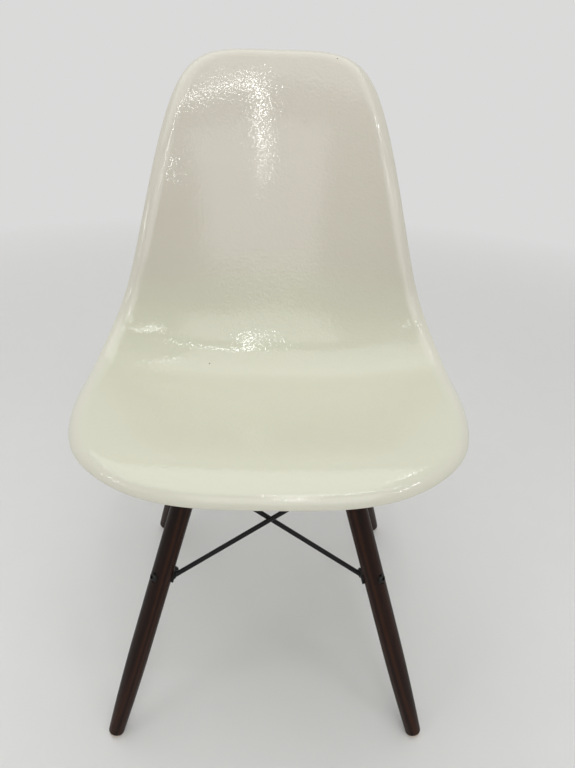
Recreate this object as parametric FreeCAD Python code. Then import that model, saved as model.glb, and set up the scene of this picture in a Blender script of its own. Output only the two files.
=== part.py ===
"""Moulded shell chair on four splayed wooden legs, braced by crossing steel rods.

Lengths are millimetres and angles are degrees. X runs across the chair, Y from its front to its back
and Z up. The floor is at zero. The middle of the shell's width and depth is over the origin.
Left and right are as seen by someone who stands in front of the chair.
"""

import FreeCAD, Part
import math
import os

Vector = FreeCAD.Vector

# Shell: the line down its middle, from the front edge over the seat and up the back
profile_length = 745.0        # along the line, between the places where the rolled rim starts
seat_front_height = 430.5     # where the line starts, before the rim rolls down
seat_slope = 12.8             # how steeply the seat falls towards the back
front_fall = 26.0             # extra slope of the front edge
front_fall_reach = 45.0
crease_start_length = 185.0   # where the seat starts to turn up into the back
crease_end_length = 430.0     # where the back has its full angle
back_angle = 69.4             # slope of the back just above the crease
top_lean = 12.0               # how far the back leans over further at its top
profile_spare = 60            # the line is worked out this far past both of its ends

# Shell: its outline where the rim starts to roll, from the middle of the front edge to the middle of
# the top edge, as shares of the widest half width and of the line's length
seat_half_width = 211.0
crest = [(0, 0.003), (0.607, 0.0215), (0.882, 0.0805), (0.981, 0.168), (1, 0.275), (0.976, 0.389),
         (0.874, 0.503), (0.78, 0.624), (0.699, 0.752), (0.607, 0.879), (0.536, 0.941), (0.431, 0.981),
         (0, 1)]
crest_spacing = 0.75

# Shell: how far its sides come up from the middle, as shares of the most at shares of the line's
# length, and at which shares of the widest half width they have come up that far
bucket_depth = 54.0
side_rise = [(-0.04, -0.037), (0.08, 0.148), (0.2, 0.481), (0.336, 0.833), (0.47, 1), (0.604, 0.87),
             (0.738, 0.667), (0.872, 0.481), (1.034, 0.241)]
rise_width = [(-0.04, 0.995), (0.2, 1.005), (0.403, 0.972), (0.604, 0.815), (0.805, 0.687), (1.034, 0.559)]
rise_power = 2.4
rise_softening = 10.0         # keeps the middle of the dish smooth
lift_angle_front = -4.0       # the sides rise along a line that tips back from the front to the top
lift_angle_top = 62.0

# Shell: its wall and its rolled rim
shell_thickness = 3.6
rim_length = 24.0             # round the rolled rim, across its section
rim_turn = 64.0
rim_easing = 1.15

# Legs
foot_half_width = 201.8       # middle of the chair to a leg's axis at the floor
foot_half_depth = 197.3
front_to_base_middle = 216.5  # front edge of the shell to the middle of the four feet
leg_lean = 0.2990             # a leg's run across, and its run along, for each unit of height
leg_radius = 13.3
leg_foot_radius = 10.2
leg_taper_length = 150.0
leg_above_bolt = 19.5         # height of the leg's top end over its upper bolt
leg_edge = 1.2

# Leg bolts, washers and nuts
bolt_drop = 53.0              # upper bolts below the rear plates
bolt_spacing = 102.5          # height between the two bolts of a leg
bolt_radius = 3.0
bolt_head_radius = 5.3
bolt_head_top_radius = 2.7
bolt_head_height = 3.2
bolt_socket_flats = 4.0
bolt_socket_depth = 2.0
bolt_spare = 1.5
washer_radius = 6.5
washer_thickness = 1.2
nut_flats = 10.0
nut_height = 5.0
spotface_margin = 0.4         # round a washer
spotface_depth = 2.0          # into the leg, under a washer

# Brackets on the leg tops, and tabs at the lower bolts
saddle_thickness = 3.0
saddle_half_angle = 62.0
upper_saddle_height = 20.0
lower_saddle_height = 12.0
lower_saddle_rise = 1.0       # its middle above the bolt
collar_margin = 0.9           # round a nut
collar_height = 2.0
strip_width = 24.0
strip_thickness = 4.0
plate_margin = 0.5            # round a mount
plate_thickness = 4.0

# Strut rods
rod_radius = 3.0
rod_above_bolt = 3.0          # lower ends above the lower bolts
rod_above_leg = 3.0           # upper ends above the legs' top ends
rod_lower_angle = 40.0        # round the leg, from its inner side
rod_edge_inset = 4.0          # in from the edge of the strip

# Mounts under the shell, with their inserts, screws and washers
mount_top_radius = 23.5
mount_bottom_radius = 20.5
mount_taper_height = 9.0
mount_cover = 2.5             # least rubber over an insert
insert_radius = 6.0
insert_height = 9.0
insert_flange_radius = 12.0
insert_flange_thickness = 1.6
insert_flange_height = 4.0
screw_head_flats = 10.0
screw_head_height = 4.0
screw_end_gap = 1.0           # from a screw's end to the insert's top

# Glides and their nails
glide_inset = 1.8             # in from the leg's end all round
glide_flange = 3.4
glide_dome_radius = 15.0
glide_flat = 0.4              # worn off the dome where it stands
nail_radius = 1.2
nail_tip_radius = 0.2
nail_length = 23.0
nail_head_radius = 3.2
nail_head_thickness = 1.0
nail_head_depth = 1.6         # in the glide, below its top

# Fits
saddle_gap = 0.2
hole_gap = 0.3
thread_gap = 0.05
rod_gap = 0.1
bond_gap = 0.2

# How far a cut runs past a face, and a length greater than the chair's
past = 1.0
far = 1000.0


def smooth_step(share):
    share = min(max(share, 0.0), 1.0)
    return share ** 3 * (share * (6 * share - 15) + 10)


def curve_through(places, values, level_ends=False):
    """A smooth curve through values at places: bending is continuous, and its ends are straight or level."""
    count = len(places)
    steps = [places[i + 1] - places[i] for i in range(count - 1)]
    rises = [(values[i + 1] - values[i]) / steps[i] for i in range(count - 1)]
    lower = [0.0] * count
    middle = [1.0] * count
    upper = [0.0] * count
    right = [0.0] * count
    for i in range(1, count - 1):
        lower[i] = steps[i - 1]
        middle[i] = 2 * (steps[i - 1] + steps[i])
        upper[i] = steps[i]
        right[i] = 6 * (rises[i] - rises[i - 1])
    if level_ends:
        middle[0] = 2 * steps[0]
        upper[0] = steps[0]
        right[0] = 6 * rises[0]
        lower[-1] = steps[-1]
        middle[-1] = 2 * steps[-1]
        right[-1] = -6 * rises[-1]
    for i in range(1, count):
        factor = lower[i] / middle[i - 1]
        middle[i] -= factor * upper[i - 1]
        right[i] -= factor * right[i - 1]
    bends = [0.0] * count
    bends[-1] = right[-1] / middle[-1]
    for i in range(count - 2, -1, -1):
        bends[i] = (right[i] - upper[i] * bends[i + 1]) / middle[i]

    def value_and_slope(place):
        i = 0
        while i < count - 2 and place > places[i + 1]:
            i += 1
        step = steps[i]
        ahead = places[i + 1] - place
        behind = place - places[i]
        value = (bends[i] * ahead ** 3 + bends[i + 1] * behind ** 3) / (6 * step)
        value += (values[i] / step - bends[i] * step / 6) * ahead
        value += (values[i + 1] / step - bends[i + 1] * step / 6) * behind
        slope = (bends[i + 1] * behind ** 2 - bends[i] * ahead ** 2) / (2 * step)
        slope += rises[i] - (bends[i + 1] - bends[i]) * step / 6
        return value, slope

    return value_and_slope


def profile_heading(along):
    """Slope of the middle line, in radians: level is 0 and straight up is a quarter turn."""
    fall = front_fall * (math.exp(-(along / front_fall_reach) ** 2) if along > 0 else 1.0)
    crease_share = (along - crease_start_length) / (crease_end_length - crease_start_length)
    turn = (seat_slope + back_angle) * smooth_step(crease_share)
    lean = top_lean * max(0.0, (along - crease_end_length) / (profile_length - crease_end_length)) ** 2
    return math.radians(fall - seat_slope + turn - lean)


profile_first = -profile_spare
profile_last = int(profile_length) + profile_spare


def walk_profile():
    """Points of the middle line at each millimetre, from the start of the rolled rim at the front."""
    points = [(0.0, 0.0)]
    for step in range(profile_first, profile_last):
        slope = profile_heading(step + 0.5)
        y, z = points[-1]
        points.append((y + math.cos(slope), z + math.sin(slope)))
    start_y, start_z = points[-profile_first]
    return [(y - start_y, z - start_z + seat_front_height) for y, z in points]


profile_points = walk_profile()
rise_at = curve_through([share * profile_length for share, rise in side_rise],
                        [rise * bucket_depth for share, rise in side_rise])
width_at = curve_through([share * profile_length for share, width in rise_width],
                         [width * seat_half_width for share, width in rise_width])


def middle_point(along):
    cell = int(math.floor(along)) - profile_first
    y, z = profile_points[cell]
    part = along - (cell + profile_first)
    slope = profile_heading(along - part / 2)
    return y + part * math.cos(slope), z + part * math.sin(slope)


def lift_direction(along):
    angle = math.radians(lift_angle_front + (lift_angle_top - lift_angle_front) * along / profile_length)
    return -math.sin(angle), math.cos(angle)


def dish_point(across, along):
    """A point of the shell's upper face inside the rolled rim."""
    y, z = middle_point(along)
    lift_y, lift_z = lift_direction(along)
    share = math.hypot(across, rise_softening) / width_at(along)[0]
    rise = rise_at(along)[0] * share ** rise_power
    return Vector(across, y + rise * lift_y, z + rise * lift_z)


rim_walk = 60
rim_steps = list(range(0, rim_walk + 1, 12))


def rolled_rim():
    """How far out and how far down the rim has gone, and its slope, at each step along it."""
    out = 0.0
    down = 0.0
    places = [(0.0, 0.0, 0.0)]
    stride = rim_length / rim_walk
    for step in range(rim_walk):
        slope = math.radians(rim_turn) * ((step + 0.5) / rim_walk) ** rim_easing
        out += math.cos(slope) * stride
        down += math.sin(slope) * stride
        places.append((out, down, math.radians(rim_turn) * ((step + 1) / rim_walk) ** rim_easing))
    return places


rim_places = rolled_rim()


class CrestLine:
    """The closed line on which the rim starts to roll, from the middle of the front round to the right."""

    def __init__(self):
        points = [(x * seat_half_width, v * profile_length) for x, v in crest]
        places = [0.0]
        for (x0, v0), (x1, v1) in zip(points, points[1:]):
            places.append(places[-1] + math.hypot(x1 - x0, v1 - v0) ** crest_spacing)
        self.first = points[0][1]
        self.last = points[-1][1]
        self.half = places[-1]
        self.across = curve_through(places, [x for x, v in points])
        self.along = curve_through(places, [v for x, v in points], level_ends=True)

    def point_and_outward(self, share):
        """Point and outward direction, both as across and along, at a share of the whole line."""
        mirror = share > 0.5
        place = self.half * 2 * (1 - share if mirror else share)
        x, dx = self.across(place)
        v, dv = self.along(place)
        length = math.hypot(dx, dv)
        out_x = dv / length
        out_v = -dx / length
        if mirror:
            return -x, v, -out_x, out_v
        return x, v, out_x, out_v


crest_line = CrestLine()
dish_across = 15
dish_along = 61
dish_margin = 1.1
dish_spare = 15.0
rim_around = 120
probe = 0.05
crest_tolerance = 0.02


def face_frame(x, v, out_x, out_v):
    """The outline's outward direction, laid along the dish, and the dish's upward normal, at a place."""
    step_x = probe * out_x
    step_v = probe * out_v
    outward = dish_point(x + step_x, v + step_v) - dish_point(x - step_x, v - step_v)
    onward = dish_point(x - step_v, v + step_x) - dish_point(x + step_v, v - step_x)
    outward.normalize()
    normal = outward.cross(onward)
    normal.normalize()
    return outward, normal


def dish_surface(depth):
    """The surface of the seat and back, or one at a depth below it, a little wider than the crest."""
    first = crest_line.first - dish_spare
    last = crest_line.last + dish_spare
    places = [first + (last - first) * row / (dish_along - 1) for row in range(dish_along)]
    shares = [dish_margin * (2 * column / (dish_across - 1) - 1) for column in range(dish_across)]
    curves = []
    for share in shares:
        points = []
        for v in places:
            x = share * width_at(v)[0]
            outward, normal = face_frame(x, v, 1.0, 0.0)
            points.append(dish_point(x, v) - normal * depth)
        curve = Part.BSplineCurve()
        curve.interpolate(Points=points, Parameters=places)
        curves.append(curve)
    return skin(curves, shares, False)


def rim_point(share, depth, step):
    """A point on the rolled rim, or below it by a depth."""
    x, v, out_x, out_v = crest_line.point_and_outward(share)
    outward, normal = face_frame(x, v, out_x, out_v)
    out, down, slope = rim_places[step]
    place = dish_point(x, v) + outward * out - normal * down
    local = normal * math.cos(slope) + outward * math.sin(slope)
    return place - local * depth


def closed_row(points):
    """A closed smooth curve through one row of points, with the same spacing for every row."""
    shares = [i / len(points) for i in range(len(points) + 1)]
    curve = Part.BSplineCurve()
    curve.interpolate(Points=points, PeriodicFlag=True, Parameters=shares)
    return curve


def skin(curves, places, closed):
    """A surface through curves that have the same spacing."""
    columns = []
    for column in zip(*[curve.getPoles() for curve in curves]):
        line = Part.BSplineCurve()
        line.interpolate(Points=list(column), Parameters=places)
        columns.append(line)
    surface = Part.BSplineSurface()
    surface.buildFromPolesMultsKnots(
        [line.getPoles() for line in columns],
        curves[0].getMultiplicities(), columns[0].getMultiplicities(),
        curves[0].getKnots(), columns[0].getKnots(), closed, False, curves[0].Degree, columns[0].Degree)
    return surface


def rim_curves(depth):
    shares = [i / rim_around for i in range(rim_around)]
    return [closed_row([rim_point(share, depth, step) for share in shares]) for step in rim_steps]


def dish_face(depth, crest_curve):
    """The part of the seat and back surface that lies inside the crest."""
    pieces, origins = dish_surface(depth).toShape().generalFuse([crest_curve.toShape()], crest_tolerance)
    return [face for face in pieces.Faces if len(face.Wires) == 1][0]


def make_shell():
    """The shell as one closed solid, with the middle of its depth over the origin."""
    above = rim_curves(0.0)
    below = rim_curves(shell_thickness)
    faces = [Part.makeRuledSurface(above[-1].toShape(), below[-1].toShape())]
    for depth, curves in ((0.0, above), (shell_thickness, below)):
        faces.append(dish_face(depth, curves[0]))
        faces.append(skin(curves, rim_steps, True).toShape())
    skins = Part.makeShell(faces)
    skins.sewShape()
    body = Part.makeSolid(skins)
    if body.Volume < 0:
        body.reverse()
    box = body.optimalBoundingBox(False, False)
    body.translate(Vector(0, -(box.YMin + box.YMax) / 2, 0))
    return body


axis_length = math.sqrt(1 + 2 * leg_lean ** 2)    # along a leg for each unit of height


def axis_place(side, end, base_y, height):
    """Where the axis of a leg, or its line above the leg, passes a height."""
    return Vector(side * (foot_half_width - leg_lean * height),
                  base_y + end * (foot_half_depth - leg_lean * height), height)


def leg_frame(side, end, base_y):
    """The place of a leg: its axis is local Z from the floor up, and local X points outwards."""
    axis = Vector(-side * leg_lean, -end * leg_lean, 1)
    axis.normalize()
    outward = Vector(side, end, 0)
    outward = outward - axis * outward.dot(axis)
    outward.normalize()
    foot = axis_place(side, end, base_y, 0)
    return FreeCAD.Placement(foot, FreeCAD.Rotation(outward, axis.cross(outward), axis, "ZXY"))


def plate_height(shell, end, base_y):
    """Top of the plates at one end, which leaves their mounts enough rubber under the shell."""
    height = seat_front_height
    for step in range(4):
        place = axis_place(1, end, base_y, height)
        column = Part.makeCylinder(mount_top_radius, far, Vector(place.x, place.y, 0))
        lowest = column.common(shell).optimalBoundingBox(False, False).ZMin
        height = lowest - bond_gap - mount_cover - insert_height
    return height


class Levels:
    """Heights and places that the base takes from the shell above it."""

    def __init__(self, shell):
        self.base_y = shell.optimalBoundingBox(False, False).YMin + front_to_base_middle
        self.plates = {end: plate_height(shell, end, self.base_y) for end in (-1, 1)}
        self.upper_bolt = self.plates[1] - bolt_drop
        self.lower_bolt = self.upper_bolt - bolt_spacing
        self.leg_top = self.upper_bolt + leg_above_bolt
        self.rod_low = self.lower_bolt + rod_above_bolt
        self.rod_high = self.leg_top + rod_above_leg


def set_in(shape, frame):
    moved = shape.copy()
    moved.transformShape(frame.toMatrix(), True)
    return moved


def hexagon(flats, height, base, direction):
    corner = flats / 2 / math.cos(math.pi / 6)
    points = []
    for step in range(7):
        angle = step * math.pi / 3
        points.append(Vector(corner * math.cos(angle), corner * math.sin(angle), 0))
    block = Part.Face(Part.makePolygon(points)).extrude(Vector(0, 0, height))
    block.Placement = FreeCAD.Placement(base, FreeCAD.Rotation(Vector(0, 0, 1), direction))
    return block


def turned(points, arcs=()):
    """A solid of revolution about Z: points are radius and height, and arcs name what bulges."""
    edges = []
    for number, ((r0, z0), (r1, z1)) in enumerate(zip(points, points[1:] + points[:1])):
        first = Vector(r0, 0, z0)
        second = Vector(r1, 0, z1)
        through = dict(arcs).get(number)
        if through is None:
            edges.append(Part.makeLine(first, second))
        else:
            edges.append(Part.Arc(first, Vector(through[0], 0, through[1]), second).toShape())
    return Part.Face(Part.Wire(edges)).revolve(Vector(0, 0, 0), Vector(0, 0, 1), 360)


# The glide's dome stands on the floor on a small worn flat, which fixes how high the leg's end is
glide_radius = leg_foot_radius - glide_inset
dome_middle = (glide_dome_radius - glide_flat) * axis_length
dome_drop = math.sqrt(glide_dome_radius ** 2 - glide_radius ** 2)
glide_top = dome_middle - dome_drop + glide_flange
leg_end = glide_top


def make_nail(gap=0.0):
    """A nail with a flat head, or the hole that it fits with a gap all round."""
    head_top = glide_top - nail_head_depth
    tip_length = 2 * nail_radius
    shank_length = nail_length - tip_length
    head = Part.makeCylinder(nail_head_radius + gap, nail_head_thickness + 2 * gap,
                             Vector(0, 0, head_top - nail_head_thickness - gap))
    shank = Part.makeCylinder(nail_radius + gap, shank_length + gap, Vector(0, 0, head_top - gap))
    tip = Part.makeCone(nail_radius + gap, nail_tip_radius + gap, tip_length + gap,
                        Vector(0, 0, head_top + shank_length))
    return head.fuse([shank, tip]).removeSplitter()


def make_glide(frame):
    """A domed glide, square to the leg, with a flat where it meets the floor."""
    flange_bottom = glide_top - glide_flange
    bottom = dome_middle - glide_dome_radius
    bulge = math.asin(glide_radius / glide_dome_radius) / 2
    through = (glide_dome_radius * math.sin(bulge), dome_middle - glide_dome_radius * math.cos(bulge))
    body = turned([(0, bottom), (glide_radius, flange_bottom), (glide_radius, glide_top), (0, glide_top)],
                  [(0, through)])
    body = set_in(body.cut(make_nail(thread_gap)), frame)
    floor = Part.makeBox(2 * far, 2 * far, far, Vector(-far, -far, -far))
    return body.cut(floor)


saddle_inner = leg_radius + saddle_gap
saddle_outer = saddle_inner + saddle_thickness
collar_face = saddle_outer + collar_height
collar_radius = nut_flats / 2 / math.cos(math.pi / 6) + collar_margin
spotface_radius = washer_radius + spotface_margin
spotface_flat = leg_radius - spotface_depth


def bolt_hole(height):
    """The hole for a leg bolt through a leg and the saddle on its inner side."""
    reach = collar_face + past
    return Part.makeCylinder(bolt_radius + hole_gap, 2 * reach, Vector(-reach, 0, height * axis_length),
                             Vector(1, 0, 0))


def make_leg(levels):
    """A turned leg that tapers to its foot in one long curve, with its bolt holes and nail hole."""
    top = levels.leg_top * axis_length
    taper_end = leg_end + leg_taper_length
    taper_middle = leg_end + (leg_edge + leg_taper_length) / 2
    # a quarter of the taper makes the curve run smoothly into the straight part
    bulge = leg_radius - (leg_radius - leg_foot_radius) / 4
    points = [(0, leg_end), (leg_foot_radius - leg_edge, leg_end), (leg_foot_radius, leg_end + leg_edge),
              (leg_radius, taper_end), (leg_radius, top - leg_edge), (leg_radius - leg_edge, top), (0, top)]
    body = turned(points, [(2, (bulge, taper_middle))])
    for height in (levels.lower_bolt, levels.upper_bolt):
        body = body.cut(bolt_hole(height))
        body = body.cut(Part.makeCylinder(spotface_radius, leg_radius,
                                          Vector(spotface_flat, 0, height * axis_length), Vector(1, 0, 0)))
    return body.cut(make_nail(thread_gap))


def make_saddle(place, height, rise=0.0):
    """A curved plate on the inner side of a leg, with a collar that gives its nut a flat seat."""
    low = Vector(0, 0, place + rise - height / 2)
    ring = Part.makeCylinder(saddle_outer, height, low, Vector(0, 0, 1), 2 * saddle_half_angle)
    ring = ring.cut(Part.makeCylinder(saddle_inner, height, low))
    ring.rotate(Vector(0, 0, 0), Vector(0, 0, 1), 180 - saddle_half_angle)
    collar = Part.makeCylinder(collar_radius, collar_face - saddle_inner, Vector(-collar_face, 0, place),
                               Vector(1, 0, 0))
    collar = collar.cut(Part.makeCylinder(saddle_inner, far, Vector(0, 0, place - far / 2)))
    return ring.fuse(collar)


def make_tab(levels):
    saddle = make_saddle(levels.lower_bolt * axis_length, lower_saddle_height, lower_saddle_rise)
    return saddle.cut(bolt_hole(levels.lower_bolt)).removeSplitter()


def make_bracket(frame, levels, top):
    """A saddle on the leg's top end, a strip up its inner side, and a flat plate under the mount."""
    place = levels.upper_bolt * axis_length
    strip_low = place - upper_saddle_height / 2
    strip_high = top * axis_length + strip_width
    strip = Part.makeBox(strip_thickness, strip_width, strip_high - strip_low,
                         Vector(-saddle_inner - strip_thickness, -strip_width / 2, strip_low))
    lower = make_saddle(place, upper_saddle_height).fuse(strip).cut(bolt_hole(levels.upper_bolt))
    lower = set_in(lower, frame)
    above = Part.makeBox(2 * far, 2 * far, far, Vector(-far, -far, top - plate_thickness / 2))
    bottom = frame.multVec(Vector(0, 0, top * axis_length)) - Vector(0, 0, plate_thickness)
    plate = Part.makeCylinder(mount_bottom_radius + plate_margin, plate_thickness, bottom)
    hole = Part.makeCylinder(bolt_radius + hole_gap, plate_thickness + 2 * past, bottom - Vector(0, 0, past))
    return lower.cut(above).fuse(plate).cut(hole).removeSplitter()


def lay_across(shape, height):
    """Turns a shape on Z to lie on local X at a height on the leg."""
    shape.rotate(Vector(0, 0, 0), Vector(0, 1, 0), 90)
    shape.translate(Vector(0, 0, height * axis_length))
    return shape


def make_leg_bolt(height):
    """A dome-headed bolt with a hexagon socket, from the leg's outer side to its inner side."""
    seat = spotface_flat + washer_thickness
    top = seat + bolt_head_height
    # the dome is a quarter of an oval, drawn through its middle
    halfway = math.sqrt(0.5)
    bulge = (bolt_head_top_radius + (bolt_head_radius - bolt_head_top_radius) * halfway,
             seat + bolt_head_height * halfway)
    head = turned([(0, seat), (bolt_head_radius, seat), (bolt_head_top_radius, top), (0, top)], [(1, bulge)])
    socket = hexagon(bolt_socket_flats, bolt_socket_depth + past,
                     Vector(0, 0, top - bolt_socket_depth), Vector(0, 0, 1))
    reach = seat + collar_face + nut_height + bolt_spare
    shank = Part.makeCylinder(bolt_radius, reach, Vector(0, 0, seat - reach))
    return lay_across(head.cut(socket).fuse(shank).removeSplitter(), height)


def make_leg_washer(height):
    ring = Part.makeCylinder(washer_radius, washer_thickness, Vector(0, 0, spotface_flat))
    hole = Part.makeCylinder(bolt_radius + hole_gap, leg_radius + past)
    return lay_across(ring.cut(hole), height)


def make_leg_nut(height):
    low = Vector(0, 0, -collar_face - nut_height)
    nut = hexagon(nut_flats, nut_height, low, Vector(0, 0, 1))
    hole = Part.makeCylinder(bolt_radius + thread_gap, nut_height + 2 * past, low - Vector(0, 0, past))
    return lay_across(nut.cut(hole), height)


def rod_ends(frame, levels, turn):
    """Where rods start on the tab and finish on the strip, on one side of a leg or the other."""
    angle = math.radians(rod_lower_angle)
    radius = saddle_inner + saddle_thickness / 2
    low = Vector(-radius * math.cos(angle), turn * radius * math.sin(angle), levels.rod_low * axis_length)
    high = Vector(-saddle_inner - strip_thickness / 2, turn * (strip_width / 2 - rod_edge_inset),
                  levels.rod_high * axis_length)
    return frame.multVec(low), frame.multVec(high)


def make_rod(start, finish, shift, trims):
    """A straight rod between two legs, shifted to pass its pair, and trimmed where it meets them."""
    run = finish - start
    rod = Part.makeCylinder(rod_radius, run.Length, start + shift, run)
    for trim in trims:
        rod = rod.cut(trim)
    pieces = sorted(rod.Solids, key=lambda solid: solid.Volume)
    return pieces[-1]


def make_struts(frames, levels, legs, tabs, brackets):
    """Two crossing rods between each pair of neighbouring legs."""
    around = {"front": ("front_left", "front_right"), "right": ("front_right", "rear_right"),
              "rear": ("rear_right", "rear_left"), "left": ("rear_left", "front_left")}
    struts = {}
    for name, (one, other) in around.items():
        one_low, one_high = rod_ends(frames[one], levels, 1)
        other_low, other_high = rod_ends(frames[other], levels, -1)
        outward = (other_high - one_low).cross(one_high - other_low)
        outward.normalize()
        shift = outward * (rod_radius + rod_gap / 2)
        for label, start, first, finish, last, side in (("outer", one_low, one, other_high, other, shift),
                                                        ("inner", other_low, other, one_high, one, -shift)):
            trims = [tabs[first], legs[first], brackets[last], legs[last]]
            struts[f"strut_{name}_{label}"] = make_rod(start, finish, side, trims)
    return struts


def make_insert(base):
    """A threaded insert with a flange that holds it in the rubber."""
    barrel = Part.makeCylinder(insert_radius, insert_height, base)
    flange = Part.makeCylinder(insert_flange_radius, insert_flange_thickness,
                               base + Vector(0, 0, insert_flange_height))
    bore = Part.makeCylinder(bolt_radius + thread_gap, insert_height + 2 * past, base - Vector(0, 0, past))
    return barrel.fuse(flange).cut(bore).removeSplitter()


def make_mount(base, shell):
    """A rubber mount on its plate, with a top that follows the underside of the shell."""
    cone = Part.makeCone(mount_bottom_radius, mount_top_radius, mount_taper_height, base)
    top = Part.makeCylinder(mount_top_radius, far, base + Vector(0, 0, mount_taper_height))
    lowered = shell.copy()
    lowered.translate(Vector(0, 0, -bond_gap))
    pieces = sorted(cone.fuse(top).cut(lowered).Solids, key=lambda solid: solid.BoundBox.ZMin)
    pocket = make_insert(base).fuse(Part.makeCylinder(insert_radius, insert_height, base))
    return pieces[0].cut(pocket).removeSplitter()


def make_mount_screw(base):
    """A hexagon-headed screw from below, through the plate and into the insert."""
    under = base - Vector(0, 0, plate_thickness + washer_thickness)
    low = under - Vector(0, 0, screw_head_height)
    head = hexagon(screw_head_flats, screw_head_height, low, Vector(0, 0, 1))
    reach = plate_thickness + washer_thickness + insert_height - screw_end_gap
    return head.fuse(Part.makeCylinder(bolt_radius, reach, under)).removeSplitter()


def make_mount_washer(base):
    under = base - Vector(0, 0, plate_thickness + washer_thickness)
    ring = Part.makeCylinder(washer_radius, washer_thickness, under)
    hole = Part.makeCylinder(bolt_radius + hole_gap, washer_thickness + 2 * past, under - Vector(0, 0, past))
    return ring.cut(hole)


corners = {"front_left": (-1, -1), "front_right": (1, -1), "rear_left": (-1, 1), "rear_right": (1, 1)}


def make_chair():
    shell = make_shell()
    levels = Levels(shell)
    frames = {corner: leg_frame(side, end, levels.base_y) for corner, (side, end) in corners.items()}
    leg = make_leg(levels)
    legs = {corner: set_in(leg, frame) for corner, frame in frames.items()}
    tab = make_tab(levels)
    tabs = {corner: set_in(tab, frame) for corner, frame in frames.items()}
    tops = {corner: levels.plates[end] for corner, (side, end) in corners.items()}
    brackets = {corner: make_bracket(frame, levels, tops[corner]) for corner, frame in frames.items()}
    bases = {corner: frame.multVec(Vector(0, 0, tops[corner] * axis_length))
             for corner, frame in frames.items()}

    nodes = {"shell": shell}
    for corner, frame in frames.items():
        nodes[f"leg_{corner}"] = legs[corner]
        nodes[f"glide_{corner}"] = make_glide(frame)
        nodes[f"tab_{corner}"] = tabs[corner]
        nodes[f"bracket_{corner}"] = brackets[corner]
        nodes[f"mount_{corner}"] = make_mount(bases[corner], shell)
    nodes.update(make_struts(frames, levels, legs, tabs, brackets))

    def at_each_leg(shape):
        return Part.makeCompound([set_in(shape, frame) for frame in frames.values()])

    for level, height in (("lower", levels.lower_bolt), ("upper", levels.upper_bolt)):
        nodes[f"{level}_leg_bolts"] = at_each_leg(make_leg_bolt(height))
        nodes[f"{level}_leg_washers"] = at_each_leg(make_leg_washer(height))
        nodes[f"{level}_leg_nuts"] = at_each_leg(make_leg_nut(height))
    nodes["glide_nails"] = at_each_leg(make_nail())
    nodes["mount_inserts"] = Part.makeCompound([make_insert(base) for base in bases.values()])
    nodes["mount_screws"] = Part.makeCompound([make_mount_screw(base) for base in bases.values()])
    nodes["mount_washers"] = Part.makeCompound([make_mount_washer(base) for base in bases.values()])
    return nodes


os.makedirs("parts", exist_ok=True)
for node, shape in make_chair().items():
    shape.exportStep(f"parts/{node}.step")
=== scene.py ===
from functools import partialmethod
from math import copysign, cos, hypot, pi, radians, sin, sqrt

import bpy
import numpy as np
from mathutils import Matrix, Vector
from mathutils.bvhtree import BVHTree


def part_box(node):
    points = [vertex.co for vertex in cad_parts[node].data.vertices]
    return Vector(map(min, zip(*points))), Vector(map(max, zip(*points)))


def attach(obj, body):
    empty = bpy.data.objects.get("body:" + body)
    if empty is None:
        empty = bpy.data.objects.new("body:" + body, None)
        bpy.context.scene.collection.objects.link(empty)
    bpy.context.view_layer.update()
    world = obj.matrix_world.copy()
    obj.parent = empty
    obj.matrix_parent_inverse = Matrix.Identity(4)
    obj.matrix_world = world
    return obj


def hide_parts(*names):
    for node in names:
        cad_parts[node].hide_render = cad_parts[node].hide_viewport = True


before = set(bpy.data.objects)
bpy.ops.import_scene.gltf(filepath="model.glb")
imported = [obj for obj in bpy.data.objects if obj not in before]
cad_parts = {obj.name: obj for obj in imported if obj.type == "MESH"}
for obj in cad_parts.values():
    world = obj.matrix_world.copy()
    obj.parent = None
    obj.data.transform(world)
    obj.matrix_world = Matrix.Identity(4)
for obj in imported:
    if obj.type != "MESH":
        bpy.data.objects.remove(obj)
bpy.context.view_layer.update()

print("frame loaded:", len(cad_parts), "nodes")

# X runs across the chair, Y from its front to its back and Z up; all lengths are metres
corners = {"front_left": (-1, -1), "front_right": (1, -1), "rear_left": (-1, 1), "rear_right": (1, 1)}
sharpAngle = 32                # degrees between faces from which an edge stays sharp
noiseRange = (0.3, 0.7)        # where most values of a noise lie


# links a socket to an input, or sets the input's own value
def setInputs(tree, node, inputs):
    for key, value in inputs.items():
        if isinstance(value, bpy.types.NodeSocket):
            tree.links.new(value, node.inputs[key])
        else:
            node.inputs[key].default_value = value


def addNode(tree, kind, inputs=None, **settings):
    node = tree.nodes.new(kind)
    for name, value in settings.items():
        setattr(node, name, value)
    setInputs(tree, node, inputs or {})
    return node


def doMath(tree, operation, *values):
    return addNode(tree, "ShaderNodeMath", dict(enumerate(values)), operation=operation).outputs[0]


def unit(vectors):
    return vectors / np.linalg.norm(vectors, axis=-1, keepdims=True)


def summed(steps):
    return np.concatenate([[0], np.cumsum(steps)])


def latheFaces(rows, sides):
    faces = []
    for low in range(0, (rows - 1) * sides, sides):
        high = low + sides
        for side in range(sides):
            after = (side + 1) % sides
            faces.append((low + side, low + after, high + after, high + side))
    return faces + [tuple(range(sides))[::-1], tuple((rows - 1) * sides + side for side in range(sides))]


def circlePoints(count):
    return [(cos(2 * pi * step / count), sin(2 * pi * step / count)) for step in range(count)]


def lathePoints(profile, sides):
    return [(radius * x, radius * y, z) for radius, z in profile for x, y in circlePoints(sides)]


def newFinish(name, settings):
    material = bpy.data.materials.new(name)
    material.use_nodes = True
    tree = material.node_tree
    shader = tree.nodes["Principled BSDF"]
    setInputs(tree, shader, settings)
    return material, tree, shader


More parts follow.
